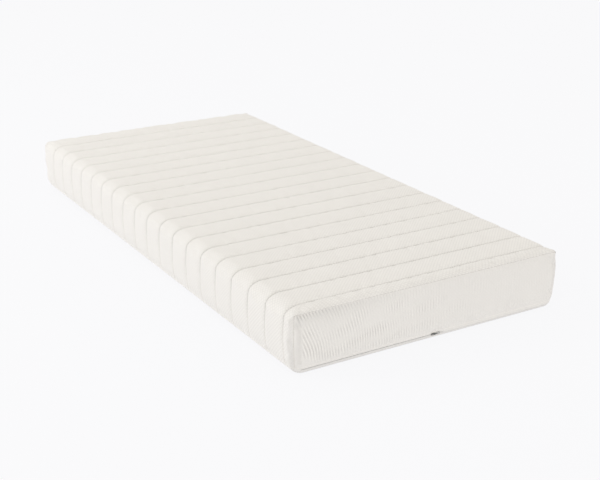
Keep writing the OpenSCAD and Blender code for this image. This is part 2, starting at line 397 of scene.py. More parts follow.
def top_rise(x, y):
    """How far the flat top stands out, at depth 0."""
    c = channel(y, past_lines(y), FLAT_Y - np.abs(y) + END_ARC)
    rise = TOP_PUFF * c**0.55 - TOP_SINK - CREASE * bell(line_distance(y), CREASE_WIDTH)
    return rise + UNEVEN * unevenness(x, y) * c * (1 - CALMED * near_end(y)) - corner_drop(x, y)


def corner_distance(outline, r):
    """How far along the outline each station is from the nearest corner seam."""
    on_arc = r * QUARTER * np.abs(outline.endness - 0.5)
    x, y = np.abs(outline.places(HALF_W, HALF_L, r)).T
    along = np.where(outline.endness == 1, HALF_W - r - x, HALF_L - r - y)
    straight = (outline.endness == 0) | (outline.endness == 1)
    return np.where(straight, along + r * math.pi / 4, on_arc)


def side_bulge(z):
    """How far the long sides stand out at a height."""
    return SIDE_BULGE * np.sin(math.pi * up_wall(z, TOP_Z) ** 0.9)


def roll_rise(outline, ring):
    """The rise on the rolled edge, from the flat top to the upright wall."""
    x, y = ring.points(outline, 0.0)[:, :2].T
    w, part = outline.blend, ring.level
    arc = END_ARC * part
    on_end = outline.endness > 0
    far = (1 - w) * past_lines(y) + w * (end_strip(y) - END_ROLL[0] + arc)
    c = channel(np.where(on_end, HALF_L, y), far, (1 - w) * 44 * MM + w * (END_ARC - arc))
    puff = TOP_PUFF + (ROLL_PUFF - TOP_PUFF) * math.sin(math.pi * part)
    puff += (WALL_PUFF - puff) * smooth((part - 0.55) / 0.45) * (1 - w)
    sink = TOP_SINK + (WALL_SINK - TOP_SINK) * smooth(part) * (1 - 0.3 * w)
    crease = CREASE * (1 - 0.5 * part) * bell(np.where(on_end, far, line_distance(y)), CREASE_WIDTH)
    bulge = side_bulge(ring.side[1]) * ring.side[2] * (1 - w)
    rise = puff * c**0.55 - sink - crease + bulge - corner_drop(x, y) * (1 - part)
    return rise + UNEVEN * unevenness(x, y) * c * outline.calm - 0.3 * MM * bell(END_ARC - arc, 3.5 * MM) * w


def wall_rise(outline, ring):
    """The rise on the upright walls: quilting on the long sides, one smooth swell on the ends."""
    x, y = ring.points(outline, 0.0)[:, :2].T
    z, r, w = ring.height(outline), ring.r, outline.blend
    seam = corner_distance(outline, r)
    on_end = outline.endness > 0
    far = np.where(on_end, end_strip(y) - r + 1 * MM, past_lines(y))
    c = channel(np.where(on_end, HALF_L, y), far, seam)
    fade = smooth(up_wall(ring.side[1], SIDE_TOP) * 1.15)
    quilt = (WALL_PUFF * c**0.6 - WALL_SINK) * (0.35 + 0.65 * fade)
    quilt -= CREASE * (0.2 + 0.35 * fade) * bell(line_distance(y), CREASE_WIDTH)
    end = END_BULGE * np.sin(math.pi * up_wall(ring.end[1], SEAM_Z) ** 0.85) ** 0.8
    end = end - 0.9 * MM * bell(SEAM_Z - ring.end[1], 5 * MM)
    rise = (side_bulge(ring.side[1]) + quilt) * (1 - w) + end * w - 0.5 * MM * bell(seam, 2.2 * MM)
    rest = smooth((z - HEM_Z) / HOLD)
    return (rise + 0.35 * MM * unevenness(x + z, y - z) * outline.calm) * rest


def hem_heights(outline):
    """The height of the hood's lower edge at each station, and how far it closes over the zip there: 1 where
    it covers the slot, 0 along the slider's way at the foot end."""
    x = outline.places(HALF_W, HALF_L, wall_corner_r(HEM_Z))[:, 0]
    slot = smooth((x - SLOT_LEFT) / LEFT_RUN) * smooth((SLOT_RIGHT - x) / RIGHT_RUN)
    closed = 1 - slot * (outline.normal[:, 1] < -0.9)
    return (ZIP_Z + LIP_GAP) * (1 - closed) + (HEM_Z - HEM_DROP) * closed, closed


def lip(z, closed, edge):
    """How far a face near the zip lies inwards, and how much of the fabric's thickness is left."""
    near = (1 - smooth((np.abs(z - ZIP_Z) - LIP_GAP - LIP_REACH) / LIP_REACH)) * (1 - closed)
    return near * edge, 1 - near * (1 - LIP_T / TICKING_T)


# ---- layers of the hood

STITCH_STEP = 1 - HEM_STITCH / (SEAM_Z - HEM_Z)
LIP_RINGS = 5


def wall_rings(outline, steps):
    """Rings from the end seam and the rolled edge down to the hem."""
    hem, _ = hem_heights(outline)
    rings = []
    for t in steps:
        upper, lower = min(t, STITCH_STEP), max(t - STITCH_STEP, 0) / (1 - STITCH_STEP)
        z_side = SIDE_TOP - (SIDE_TOP - HEM_Z) * upper
        z_side += (HEM_Z - HEM_DROP - z_side) * lower
        z_end = SEAM_Z - (SEAM_Z - HEM_Z) * upper
        rings.append(wall_ring(1 + t, z_side, z_end, z_end + (hem - z_end) * lower))
    return rings


def wall_steps(steps, lip_rings):
    """Adds the step of the hem's stitching and those of the lip below it."""
    return [*steps, *np.linspace(STITCH_STEP, 1, lip_rings + 1)]


class Hood:
    """The outer form of the hood, with its rise and the swell of the cloth simulation."""

    def __init__(self, outline, roll_angles, wall_steps):
        self.outline = outline
        self.roll = [roll_ring(a) for a in np.radians(roll_angles)]
        self.rings = self.roll + wall_rings(outline, wall_steps)
        _, closed = hem_heights(outline)
        self.grid_xy = outline.grid(0.0)[:, :2]
        self.grid_rise = top_rise(*self.grid_xy.T)
        self.rises = [roll_rise(outline, r) for r in self.roll]
        self.thick = [np.ones(outline.count)] * len(self.roll)
        for ring in self.rings[len(self.roll) :]:
            z = ring.height(outline)
            over = 0.9 * MM * closed * smooth((30 * MM - z) / (10 * MM))
            recess, thick = lip(z, closed, LIP_IN)
            self.rises.append(wall_rise(outline, ring) + over - recess)
            self.thick.append(thick)
        self.levels = np.array([r.level for r in self.rings])
        self.grid_swell = np.zeros((len(self.grid_xy), 3))
        self.ring_swell = np.zeros((len(self.rings), outline.count, 3))
        self.relief = []

    def flatten(self):
        """Takes the rise away, for a layer that stays level."""
        self.grid_rise = self.grid_rise * 0
        self.rises = [r * 0 for r in self.rises]
        return self

    def surface(self, depth, share=1.0):
        """All points at that depth, the flat grid's first. share scales the rise."""
        flat = np.column_stack([self.grid_xy, TOP_Z - depth + share * self.grid_rise])
        parts = [flat + share * self.grid_swell]
        for ring, rise, thick, swell in zip(self.rings, self.rises, self.thick, self.ring_swell):
            lift = share * rise + depth * (1 - thick)
            parts.append(ring.points(self.outline, depth, lift) + share * swell)
        return np.vstack(parts)

    def numbers(self):
        """Point numbers of the flat grid's edge and of every ring."""
        return [self.outline.flat_indices(), *self.outline.numbers(len(self.rings), len(self.grid_xy))]

    def cloth_coordinates(self):
        """Where each point lies in the flat cut, in metres."""
        flat = self.grid_xy[self.outline.flat_indices()]
        parts, fall, w = [self.grid_xy], np.zeros(self.outline.count), self.outline.blend
        last = [(SIDE_ROLL[0], TOP_Z), (END_ROLL[0], TOP_Z)]
        for ring in self.rings:
            now = [ring.side, ring.end]
            side, end = (np.hypot(a[0] - b[0], a[1] - b[1]) for a, b in zip(now, last))
            fall, last = fall + side * (1 - w) + end * w, now
            along = flat + fall[:, None] * self.outline.normal
            on_side = self.outline.endness == 0
            along[on_side, 1] = ring.points(self.outline, 0.0)[on_side, 1]
            parts.append(along)
        return np.vstack(parts)

    def take_swell(self, coarse):
        """Takes over the simulated swell of a coarser hood."""
        old, new = coarse.outline, self.outline
        grid = resample(coarse.grid_swell.reshape(*old.size[::-1], 3), old.rows, new.rows)
        grid = resample(grid.transpose(1, 0, 2), old.columns, new.columns).transpose(1, 0, 2)
        self.grid_swell = grid.reshape(-1, 3)
        rings = np.concatenate([coarse.grid_swell[old.flat_indices()][None], coarse.ring_swell])
        rings = resample(rings, np.concatenate([[0.0], coarse.levels]), self.levels)
        around = rings.transpose(1, 0, 2)
        s = np.concatenate([old.s[-2:] - old.around, old.s, old.s[:2] + old.around])
        around = np.concatenate([around[-2:], around, around[:2]])
        self.ring_swell = resample(around, s, new.s).transpose(1, 0, 2)


def resample(values, at, wanted):
    """Values along the first axis, read elsewhere on a smooth curve through them."""
    i = np.clip(np.searchsorted(at, wanted) - 1, 0, len(at) - 2)
    span = (at[i + 1] - at[i])[:, None, None]
    t = np.clip((wanted - at[i])[:, None, None] / np.maximum(span, 1e-9), 0, 1)
    slope = np.gradient(values, np.maximum.accumulate(at + np.arange(len(at)) * 1e-9), axis=0)
    h00, h10 = 2 * t**3 - 3 * t**2 + 1, t**3 - 2 * t**2 + t
    h01, h11 = -2 * t**3 + 3 * t**2, t**3 - t**2
    return h00 * values[i] + h10 * span * slope[i] + h01 * values[i + 1] + h11 * span * slope[i + 1]


def channel_rows(offsets, end_offsets):
    """Row places, in millimetres after every quilting line, and others past the outermost ones."""
    limit = FLAT_Y - 4 * MM
    rows = [line + o * MM for line in LINES[:-1] for o in offsets]
    before = [FIRST_LINE - o * MM for o in reversed(end_offsets) if FIRST_LINE - o * MM > -limit]
    after = [LAST_LINE + o * MM for o in end_offsets if LAST_LINE + o * MM < limit]
    return np.array([-FLAT_Y, *before, *rows, LAST_LINE, *after, FLAT_Y])


def hood_piece(name, hood, zone, depth_out, depth_in, look, cad, rise_in=1.0):
    """A layer of the hood between two depths. rise_in scales the rise of its inner face."""
    outline, numbers, seam = hood.outline, hood.numbers(), len(hood.roll)
    faces, half = [], 0.5 + EVEN
    if zone == "top":
        faces = grid_faces(*outline.size) + loft(numbers[: seam + 1])
        used = outline.endness <= half
    else:
        used = (outline.endness >= 1 - half) & (outline.normal[:, 1] * (1 if zone == "head" else -1) > 0)
    faces += loft(numbers[seam:], used)
    uv = hood.cloth_coordinates()
    if hood.relief:
        uv = np.column_stack([uv, np.concatenate([np.zeros(len(hood.grid_xy)), *hood.relief])])
    shell = closed_shell(hood.surface(depth_out), hood.surface(depth_in, rise_in), faces, uv)
    return piece(name, "hood", look, cad, *drop_unused(*shell))


# ---- cloth simulation


def inflate(hood):
    """Blows the cover up a little between its stitching, as the wadding does."""
    outline, numbers = hood.outline, hood.numbers()
    start = hood.surface(0.0)
    obj = new_object("swell", start, grid_faces(*outline.size) + loft(numbers))
    held = np.zeros(len(start), bool)
    held[: len(hood.grid_xy)] = line_distance(hood.grid_xy[:, 1]) < 1e-5
    rows = outline.places(HALF_W, HALF_L, CORNER_R)[:, 1]
    on_line = (outline.endness == 0) & (line_distance(rows) < 1e-4)
    for k, ring in enumerate(numbers[1:], 1):
        held[ring[on_line]] = True
        if k >= len(hood.roll):
            held[ring[np.abs(outline.endness - 0.5) < EVEN]] = True
        if k == len(hood.roll):
            held[ring[outline.endness > 0.5]] = True
    held[numbers[-1]] = held[numbers[-2]] = True
    group = obj.vertex_groups.new(name="sewn")
    group.add([int(i) for i in np.nonzero(held)[0]], 1.0, "REPLACE")
    cloth = obj.modifiers.new("cloth", "CLOTH")
    s = cloth.settings
    s.vertex_group_mass = "sewn"
    s.quality, s.mass = 6, 0.25
    s.tension_stiffness = s.compression_stiffness = 12
    s.shear_stiffness, s.bending_stiffness = 6, 0.4
    s.shrink_min = -0.02
    s.use_pressure, s.uniform_pressure_force = True, 4
    s.effector_weights.gravity = 0
    cloth.collision_settings.use_collision = False
    for f in range(1, 21):
        scene.frame_set(f)
    done = obj.evaluated_get(bpy.context.evaluated_depsgraph_get()).data
    end = np.zeros(len(start) * 3)
    done.vertices.foreach_get("co", end)
    moved = end.reshape(-1, 3) - start
    far = np.linalg.norm(moved, axis=1)
    moved *= (SWELL_CAP * np.tanh(far / SWELL_CAP) / np.maximum(far, 1e-9))[:, None]
    bpy.data.objects.remove(obj)
    scene.frame_set(1)
    hood.grid_swell = moved[: len(hood.grid_xy)]
    hood.ring_swell = moved[len(hood.grid_xy) :].reshape(len(hood.rings), outline.count, 3)


# ---- threads and zip elements

SIDES = 6  # of a stitch or element, seen along it
TURNS = [(math.cos(2 * math.pi * k / SIDES), math.sin(2 * math.pi * k / SIDES)) for k in range(SIDES)]
STITCH_FORM = [(-0.5, 0.35), (-0.36, 0.85), (0.0, 1.0), (0.36, 0.85), (0.5, 0.35)]  # along it, thickness


def run_length(points):
    """How far along its path each point is."""
    return np.concatenate([[0], np.cumsum(np.linalg.norm(np.diff(points, axis=0), axis=1))])


def read(values, run, at):
    return np.stack([np.interp(at, run, column) for column in values.T], axis=1)


def closed_path(*values):
    """A row that ends where it starts."""
    return [np.vstack([v, v[:1]]) for v in values]


def rods(layers):
    """Many small closed rods. layers holds that point of all rods, for each corner of each section."""
    count, one = len(layers), []
    for r in range(0, count - SIDES, SIDES):
        for k in range(SIDES):
            j = (k + 1) % SIDES
            one.append((r + k, r + j, r + SIDES + j, r + SIDES + k))
    one += [tuple(reversed(range(SIDES))), tuple(range(count - SIDES, count))]
    faces = [tuple(q + i * count for q in f) for i in range(len(layers[0])) for f in one]
    return np.stack(layers, axis=1).reshape(-1, 3), faces


def sew(name, body, look, cad, paths, size):
    """Rows of raised stitches. paths holds (points, outward directions) for each row. size is, in mm, how far
    they lie off those points, the step from one to the next, and a stitch's length, width and height."""
    lift, pitch, length, width, height = (v * MM for v in size)
    rows = []
    for points, normals in paths:
        points = points + lift * normals
        run = run_length(points)
        at = np.arange(pitch / 2, run[-1], pitch)
        along = read(points, run, at + 0.4 * pitch) - read(points, run, at - 0.4 * pitch)
        rows.append((read(points, run, at), along, read(normals, run, at)))
    p, a, n = (np.vstack(parts) for parts in zip(*rows))
    a = unit(a)
    n = unit(n - (n * a).sum(1)[:, None] * a)
    b = np.cross(a, n)
    layers = []
    for t, thick in STITCH_FORM:
        sunk = -0.35 * height * (2 * abs(t)) ** 3
        for c, s in TURNS:
            across = b * (0.5 * width * thick * c) + n * (0.5 * height * thick * s + sunk)
            layers.append(p + a * (t * length) + across)
    return piece(name, body, look, cad, *rods(layers))


# ---- materials


class Look:
    """A material in the making, with short names for its nodes."""

    def __init__(self, name, slot, roughness, **constants):
        self.material, self.slot = bpy.data.materials.new(name), slot
        self.material.use_nodes = True
        self.tree = self.material.node_tree
        self.shader = self.tree.nodes["Principled BSDF"]
        for key, value in dict(constants, Roughness=roughness).items():
            self.shader.inputs[key.replace("_", " ")].default_value = value
        self.place = self.node("TexCoord").outputs["Object"]

    def node(self, kind, inputs=(), **settings):
        n = self.tree.nodes.new("ShaderNode" + kind)
        for key, value in settings.items():
            setattr(n, key, value)
        for key, value in dict(inputs).items():
            if isinstance(value, bpy.types.NodeSocket):
                self.tree.links.new(value, n.inputs[key])
            else:
                n.inputs[key].default_value = value
        return n

    def calc(self, operation, *values):
        return self.node("Math", dict(enumerate(values)), operation=operation).outputs[0]

    def add(self, a, b):
        return self.calc("ADD", a, b)

    def mul(self, a, b):
        return self.calc("MULTIPLY", a, b)

    def mad(self, a, b, c):
        """a times b, plus c."""
        return self.calc("MULTIPLY_ADD", a, b, c)

    def vary(self, factor, value, strength):
        """The factor, made more or less by a value between 0 and 1."""
        return self.mad(self.calc("SUBTRACT", value, 0.5), strength, factor)

    def wave(self, value, length):
        """A sine of that wavelength, from -1 to 1."""
        return self.calc("SINE", self.mul(value, 2 * math.pi / length))

    def fall(self, distance, width):
        """1 on a line, falling off beside it."""
        return self.calc("POWER", 2.718, self.mul(distance, -1 / width))

    def split(self, vector):
        return list(self.node("SeparateXYZ", {0: vector}).outputs)

    def noise(self, scale, detail=2.0, roughness=0.5):
        inputs = {"Vector": self.place, "Scale": scale, "Detail": detail, "Roughness": roughness}
        return self.node("TexNoise", inputs).outputs[0]

    def ramp(self, value, start, end, low, high):
        inputs = {"Value": value, "From Min": start, "From Max": end, "To Min": low, "To Max": high}
        return self.node("MapRange", inputs).outputs[0]

    def link(self, value, socket):
        self.tree.links.new(value, self.shader.inputs[socket])

    def bump(self, height, distance):
        inputs = {"Height": height, "Distance": distance, "Strength": 1.0}
        self.link(self.node("Bump", inputs).outputs[0], "Normal")

    def paint(self, colour, factor, height, distance):
        """Colour times a varying factor, and a bump of that height in metres."""
        scaled = self.node("VectorMath", {0: colour, "Scale": factor}, operation="SCALE")
        self.link(scaled.outputs[0], "Base Color")
        self.bump(height, distance)
        return self.material, self.slot


def knit_look(name, slot, colour, waffle, ribbed=False, quilted=False, painted_ground_shade=False):
    """A white double knit: fine loops, a diagonal waffle, and puckers beside the quilting lines."""
    g = Look(name, slot, 0.92, Sheen_Weight=0.15, Sheen_Roughness=0.5, Specular_IOR_Level=0.25)
    u, v, _ = g.split(g.node("UVMap", uv_map="Knit").outputs[0])
    diagonals = [g.mul(g.calc(way, u, v), math.sqrt(0.5)) for way in ("ADD", "SUBTRACT")]
    cells = g.calc("SMOOTH_MIN", *(g.calc("ABSOLUTE", g.wave(d, 2 * WAFFLE)) for d in diagonals), 0.3)
    loops = g.mul(g.wave(u, 1.7 * MM), g.wave(v, 1.3 * MM))
    cloudy = g.noise(9.0, 3.0)
    fine = g.noise(420.0, 2.0, 0.7)
    height = g.mad(fine, 0.25, g.mad(loops, 0.14, g.mul(cells, waffle)))
    # painted shade along the waffle's sunken lines, lighter on its raised cells
    factor = g.mad(cells, 0.38 * waffle, 1 - 0.19 * waffle)
    factor = g.vary(g.vary(factor, cloudy, 0.035), fine, 0.06)
    if ribbed:  # painted light on the crests of the ribs and painted shade in their hollows and in the gathers' notches
        factor = g.mad(g.node("Attribute", attribute_name="relief").outputs["Fac"], 0.085, factor)
    if painted_ground_shade:  # painted shade, darker towards the ground where the floor's contact shadow falls
        factor = g.mul(factor, g.ramp(g.split(g.place)[2], 0, 12 * MM, 0.80, 1.0))
    if quilted:  # painted shade in the quilting grooves, dotted along the stitches; it fades down the walls, stops past the last line, and fades towards the head end and the right, following the light
        shifted = g.calc("MODULO", g.add(v, PITCH * 50.5 - FIRST_LINE), PITCH)
        d = g.calc("ABSOLUTE", g.calc("SUBTRACT", shifted, PITCH / 2))
        near = g.fall(d, 2.0 * MM)
        down_wall = g.calc("SUBTRACT", g.calc("ABSOLUTE", u), HALF_W + 16 * MM)
        for fading in (g.ramp(down_wall, 0, 65 * MM, 1.0, 0.1), g.calc("LESS_THAN", v, LAST_LINE + PITCH / 2),
                       g.ramp(v, -0.3, 0.85, 1.0, 0.55), g.ramp(u, 0.26, 0.44, 1.0, 0.55)):
            near = g.mul(near, fading)
        holes = g.mad(g.wave(u, 8 * MM), 0.35, 0.65)
        factor = g.calc("SUBTRACT", factor, g.mul(g.mul(near, holes), 0.34))
        pucker = g.mul(g.wave(g.mad(cloudy, 0.02, u), 12 * MM), g.fall(d, 9 * MM))
        height = g.mad(pucker, 0.45, height)
    return g.paint(colour, factor, height, 1 * MM)


def soft_look(name, colour, grain, depth, contrast, sheen=0.1):
    """Foam, wadding or felt: a grain of the given size with slow clouds of colour."""
    g = Look(name, name, 0.95, Sheen_Weight=sheen, Specular_IOR_Level=0.2)
    cells = g.node("TexVoronoi", {"Vector": g.place, "Scale": 1 / grain}).outputs[0]
    height = g.add(cells, g.noise(2 / grain, 3.0, 0.6))
    factor = g.vary(g.mad(cells, contrast, 1 - 0.6 * contrast), g.noise(7.0), 0.06)
    return g.paint(colour, factor, height, depth)


def thread_look(name, colour):
    """Twisted thread: a fine diagonal lay along each stitch."""
    g = Look(name, "thread", 0.6, Sheen_Weight=0.1)
    x, y, z = g.split(g.place)
    lay = g.wave(g.add(g.add(x, y), z), 0.7 * MM)
    # painted light: the thread is lighter lower down the walls, where they are brightly lit
    painted_wall_light = g.ramp(z, TOP_Z - 30 * MM, 60 * MM, 0.82, 1.35)
    return g.paint(colour, g.mad(lay, 0.08, g.mad(g.noise(60.0), 0.2, painted_wall_light)), lay, 0.08 * MM)


def tape_look(name, slot, colour):
    """A herringbone weave."""
    g = Look(name, slot, 0.75, Sheen_Weight=0.1)
    x, y, z = g.split(g.place)
    weave = g.wave(g.add(g.add(x, y), g.calc("PINGPONG", z, 1.5 * MM)), 0.8 * MM)
    return g.paint(colour, g.mad(weave, 0.06, g.mad(g.noise(40.0), 0.12, 0.86)), weave, 0.1 * MM)


def nylon_look(name, colour):
    g = Look(name, name, 0.35)
    spots = g.noise(900.0)
    return g.paint(colour, g.mad(spots, 0.2, 0.86), spots, 0.05 * MM)


def enamel():
    """Black enamelled metal, worn to bright metal where it rubs."""
    g = Look("zip_enamel", "zip_metal", 0.32)
    grain = g.noise(700.0, 4.0, 0.7)
    worn = g.ramp(g.mad(grain, 0.12, g.node("NewGeometry").outputs["Pointiness"]), 0.60, 0.66, 0.0, 1.0)
    mixed = {"Factor": worn, 6: (0.012, 0.012, 0.014, 1), 7: (0.55, 0.54, 0.52, 1)}
    g.link(g.node("Mix", mixed, data_type="RGBA").outputs[2], "Base Color")
    g.link(worn, "Metallic")
    g.link(g.mad(grain, 0.25, 0.2), "Roughness")
    g.bump(grain, 0.03 * MM)
    return g.material


WHITE = (0.86, 0.835, 0.80)
TICKING = knit_look("ticking_knit", "ticking", WHITE, 0.3, quilted=True)
END_TICKING = knit_look("end_knit", "ticking", WHITE, 0.05, ribbed=True)
BASE_KNIT = knit_look("base_knit", "base_fabric", (0.82, 0.80, 0.775), 0.12, painted_ground_shade=True)
SLEEVE_KNIT = knit_look("sleeve_knit", "sleeve", (0.87, 0.86, 0.84), 0.04)
# thread colour darkened to stand for the shade in the quilting and seam grooves
SHADE_DARK_THREAD = thread_look("thread", (0.45, 0.41, 0.36))
PALE_THREAD = thread_look("light_thread", (0.74, 0.71, 0.67))
TAPE = tape_look("zip_tape", "zip_tape", (0.72, 0.70, 0.68))
NYLON = nylon_look("zip_coil", (0.74, 0.73, 0.71))
ENAMEL = enamel()
SUPPORT_FOAM = soft_look("support_foam", (0.80, 0.78, 0.70), 2.2 * MM, 0.6 * MM, 0.16)
MEMORY_FOAM = soft_look("memory_foam", (0.84, 0.80, 0.66), 1.1 * MM, 0.25 * MM, 0.10)
WADDING = soft_look("wadding", (0.86, 0.86, 0.85), 6 * MM, 0.8 * MM, 0.10, sheen=0.3)
BACKING = soft_look("backing", (0.80, 0.80, 0.79), 1.6 * MM, 0.2 * MM, 0.08)
SATIN = tape_look("label_satin", "label", (0.85, 0.85, 0.84))

# ---- camera, light and floor

AZIMUTH, ELEVATION, DISTANCE = math.radians(-30.89), math.radians(20.55), 3.708
TARGET = Vector((-0.0222, -0.2678, 0.08))
level = math.cos(ELEVATION)
away = Vector((math.sin(AZIMUTH) * level, -math.cos(AZIMUTH) * level, math.sin(ELEVATION)))
camera = to_scene("camera", bpy.data.cameras.new("camera"))
camera.location = TARGET + away * DISTANCE
camera.rotation_euler = (-away).to_track_quat("-Z", "Y").to_euler()
camera.data.lens, camera.data.sensor_width = 68.7, 36
scene.camera = camera

for name, place, aim, size, power, colour in (
    ("key_softbox", (-3.6, 2.2, 2.4), (0, 0, 0.1), (3.0, 2.4), 47, (0.93, 0.965, 1.0)),
    ("grazing_softbox", (-3.2, -2.0, 0.9), (0, -1.0, 0.1), (1.0, 0.8), 6, (0.95, 0.975, 1.0)),
    ("right_fill", (3.2, -3.4, 1.8), (0.3, -1.0, 0.1), (1.6, 1.2), 8.4, (1, 1, 1)),
):
    light = bpy.data.lights.new(name, "AREA")
    light.shape, light.size, light.size_y = "RECTANGLE", *size
    light.energy, light.color = power, colour
    lamp = to_scene(name, light)
    lamp.location = place
    lamp.rotation_euler = (Vector(place) - Vector(aim)).to_track_quat("Z", "Y").to_euler()

world = bpy.data.worlds.new("studio")
scene.world = world
world.use_nodes = True
background = world.node_tree.nodes["Background"].inputs
background[0].default_value, background[1].default_value = (1.0, 0.985, 0.955, 1), 0.92

FLOOR = 40.0
floor_mesh = bpy.data.meshes.new("floor")
floor_corners = [(x * FLOOR, y * FLOOR, 0) for x, y in ((-1, -1), (1, -1), (1, 1), (-1, 1))]
floor_mesh.from_pydata(floor_corners, [], [(0, 1, 2, 3)])
paper = Look("floor", None, 0.9, Specular_IOR_Level=0.0, Base_Color=(0.10, 0.10, 0.10, 1),
             Emission_Color=(0.985, 0.985, 1.0, 1), Emission_Strength=0.865)
floor_mesh.materials.append(paper.material)
to_scene("floor", floor_mesh)

view = scene.view_settings
view.view_transform, view.look, view.exposure, view.gamma = "Standard", "None", 0.0, 1.0

# ---- hood


fine_rows = channel_rows((0, 1.5, 3.5, 7, 13, 22, 33, 47.5, 62, 73, 82, 88, 91.5, 93.5),
                         (1.5, 3.5, 7, 12, 20, 30, 42, 55, 67))
fine_steps = 0, 0.015, 0.035, 0.065, 0.11, 0.17, 0.24, 0.32, 0.41, 0.50, 0.59, 0.68, 0.76, 0.83, 0.89, 0.94
fine = Hood(Outline(even(FLAT_X, 97), fine_rows), [9, 18, 27, 36, 45, 54, 62, 69, 76, 83, 90],
            wall_steps(fine_steps, LIP_RINGS))
end_walls = Hood(Outline(even(FLAT_X, 401), even(FLAT_Y, 2)), [90],
                 wall_steps([0, 0.01, 0.02, 0.035, 0.05, *np.linspace(0.07, 0.95, 36)], LIP_RINGS))
coarse_rows = channel_rows((0, 11, 29, 47.5, 66, 84), (9, 27, 45, 63))
coarse = Hood(Outline(even(FLAT_X, 61), coarse_rows, 6), [22, 45, 67, 90],
              wall_steps([0.08, 0.2, 0.35, 0.5, 0.65, 0.8, 0.92], 1))
inner_form = (Outline(even(FLAT_X, 31), channel_rows((0, 5, 20, 48, 76, 92), (9, 30, 55)), 8),
              [15, 30, 45, 60, 75, 90], [0.0, 0.2, 0.4, 0.6, 0.8, 0.92])
inner, level_hood = Hood(*inner_form), Hood(*inner_form).flatten()
inflate(coarse)
for hood in (fine, end_walls, inner):
    hood.take_swell(coarse)


def add_ribs(hood):
    """Slanted ribs and gathers, strongest under the seam and near the left corner."""
    outline = hood.outline
    for k, ring in enumerate(hood.rings):
        z, xy = ring.height(outline), ring.points(outline, 0.0)
        x = xy[:, 0] * -np.sign(xy[:, 1])  # both ends read the same from the outside
        across, below = (x + HALF_W) / (2 * HALF_W), SEAM_Z - z
        seam = corner_distance(outline, max(ring.r, CORNER_R))
        slant = 0.40 * (1 - smooth(across / 0.5))
        wander = 2.6 * unevenness(x * 0.9, z * 2.5) + 1.2 * unevenness(x * 4, z * 1.5 + 2)
        phase = 2 * math.pi * (x - slant * below) / RIB_PITCH + wander
        fade = 0.16 + 0.84 * (1 - smooth((across - 0.18) / 0.55))
        patch = np.clip(0.6 + 0.9 * unevenness(x * 3.1 + 3, z * 5), 0, 1.4)
        ribs = RIB_HEIGHT * np.cos(phase) * smooth((seam - 16 * MM) / (10 * MM)) * fade * patch
        depth = GATHER_DEPTH * (0.12 + 0.88 * (1 - smooth((across - 0.06) / 0.42)))
        depth = depth * np.exp(-((below / GATHER_RUN) ** 1.6)) * smooth((below + 2 * MM) / (7 * MM))
        notch = (0.5 + 0.5 * np.cos(phase)) ** 2.2 * smooth((seam - 2 * MM) / (8 * MM))
        relief = ribs * (1 - 0.6 * np.exp(-below / (12 * MM))) - depth * notch
        relief = relief * smooth((z - HEM_Z) / HOLD)
        hood.relief.append(relief / MM)
        hood.rises[k] = hood.rises[k] + relief


add_ribs(end_walls)
top_cloth = hood_piece("top_panel_cloth", fine, "top", 0.0, TICKING_T, TICKING, "top_panel")
ends = {
    zone: hood_piece(f"{zone}_end_cloth", end_walls, zone, 0.0, TICKING_T, END_TICKING, f"{zone}_end_panel")
    for zone in ("foot", "head")
}

# Layers under the ticking: the wadding fills the puffs, the backing stays level
for zone, cad, depth in (
    ("top", "top_wadding", WADDING_OUT), ("foot", "foot_end_wadding", BACKING_OUT),
    ("head", "head_end_wadding", BACKING_OUT),
):
    hood_piece(f"{cad}_layer", inner, zone, WADDING_IN, depth, WADDING, cad, 0.0)
backing = hood_piece("quilt_backing_layer", level_hood, "top", BACKING_IN, BACKING_OUT, BACKING,
                     "quilt_backing")

# Quilting threads lie in the grooves, from hem to hem
numbers, surface, outline = fine.numbers(), fine.surface(0.0), fine.outline
nx, ny = outline.size
normals = np.zeros_like(surface)
normals[: len(fine.grid_xy), 2] = 1
for ring, index in zip(fine.rings, numbers[1:]):
    normals[index] = ring.facing(outline)
right_start = nx + outline.arc - 1
left_start = 2 * right_start + ny + outline.arc - 1
paths = []
for line in LINES:
    j = int(np.argmin(np.abs(outline.rows - line)))
    stations = right_start + j, left_start + ny - 1 - j
    right, left = [[ring[i] for ring in numbers[1:-LIP_RINGS]] for i in stations]
    row = left[::-1] + [j * nx + i for i in range(nx)] + right
    paths.append((surface[row], normals[row]))
threads = sew("quilting_stitches", "hood", SHADE_DARK_THREAD, "quilting_threads", paths, (0.15, 8, 6.2, 0.9, 0.7))

# Seams of the end walls
end_outline, end_numbers, end_surface = end_walls.outline, end_walls.numbers(), end_walls.surface(0.0)
outwards = end_outline.outwards
corner_paths, seam_paths = [], []
for m in np.nonzero(np.abs(end_outline.endness - 0.5) < EVEN)[0]:
    column = [ring[m] for ring in end_numbers[2:-LIP_RINGS]]
    corner_paths.append((end_surface[column], np.tile(outwards[m], (len(column), 1))))
for sign in (-1, 1):
    run = np.nonzero((end_outline.endness >= 0.5 - EVEN) & (outwards[:, 1] * sign > 0))[0]
    seam_paths.append((end_surface[end_numbers[1][run]], outwards[run]))
SEAM_STITCH, HEM_SIZE = (0.1, 3.4, 2.8, 0.8, 0.6), (4, 3.2, 0.7, 0.5)
sew("corner_seam_stitches", "hood", SHADE_DARK_THREAD, "corner_seams", corner_paths, SEAM_STITCH)
sew("end_seam_stitches", "hood", SHADE_DARK_THREAD, "end_seams", seam_paths, SEAM_STITCH)

hem_path = closed_path(surface[numbers[-1 - LIP_RINGS]], outline.outwards)
sew("hem_stitches", "hood", PALE_THREAD, "hem_topstitch", [hem_path], (0.15, *HEM_SIZE))

# ---- base pan: a shell from its rim down round the edge and across the flat underside

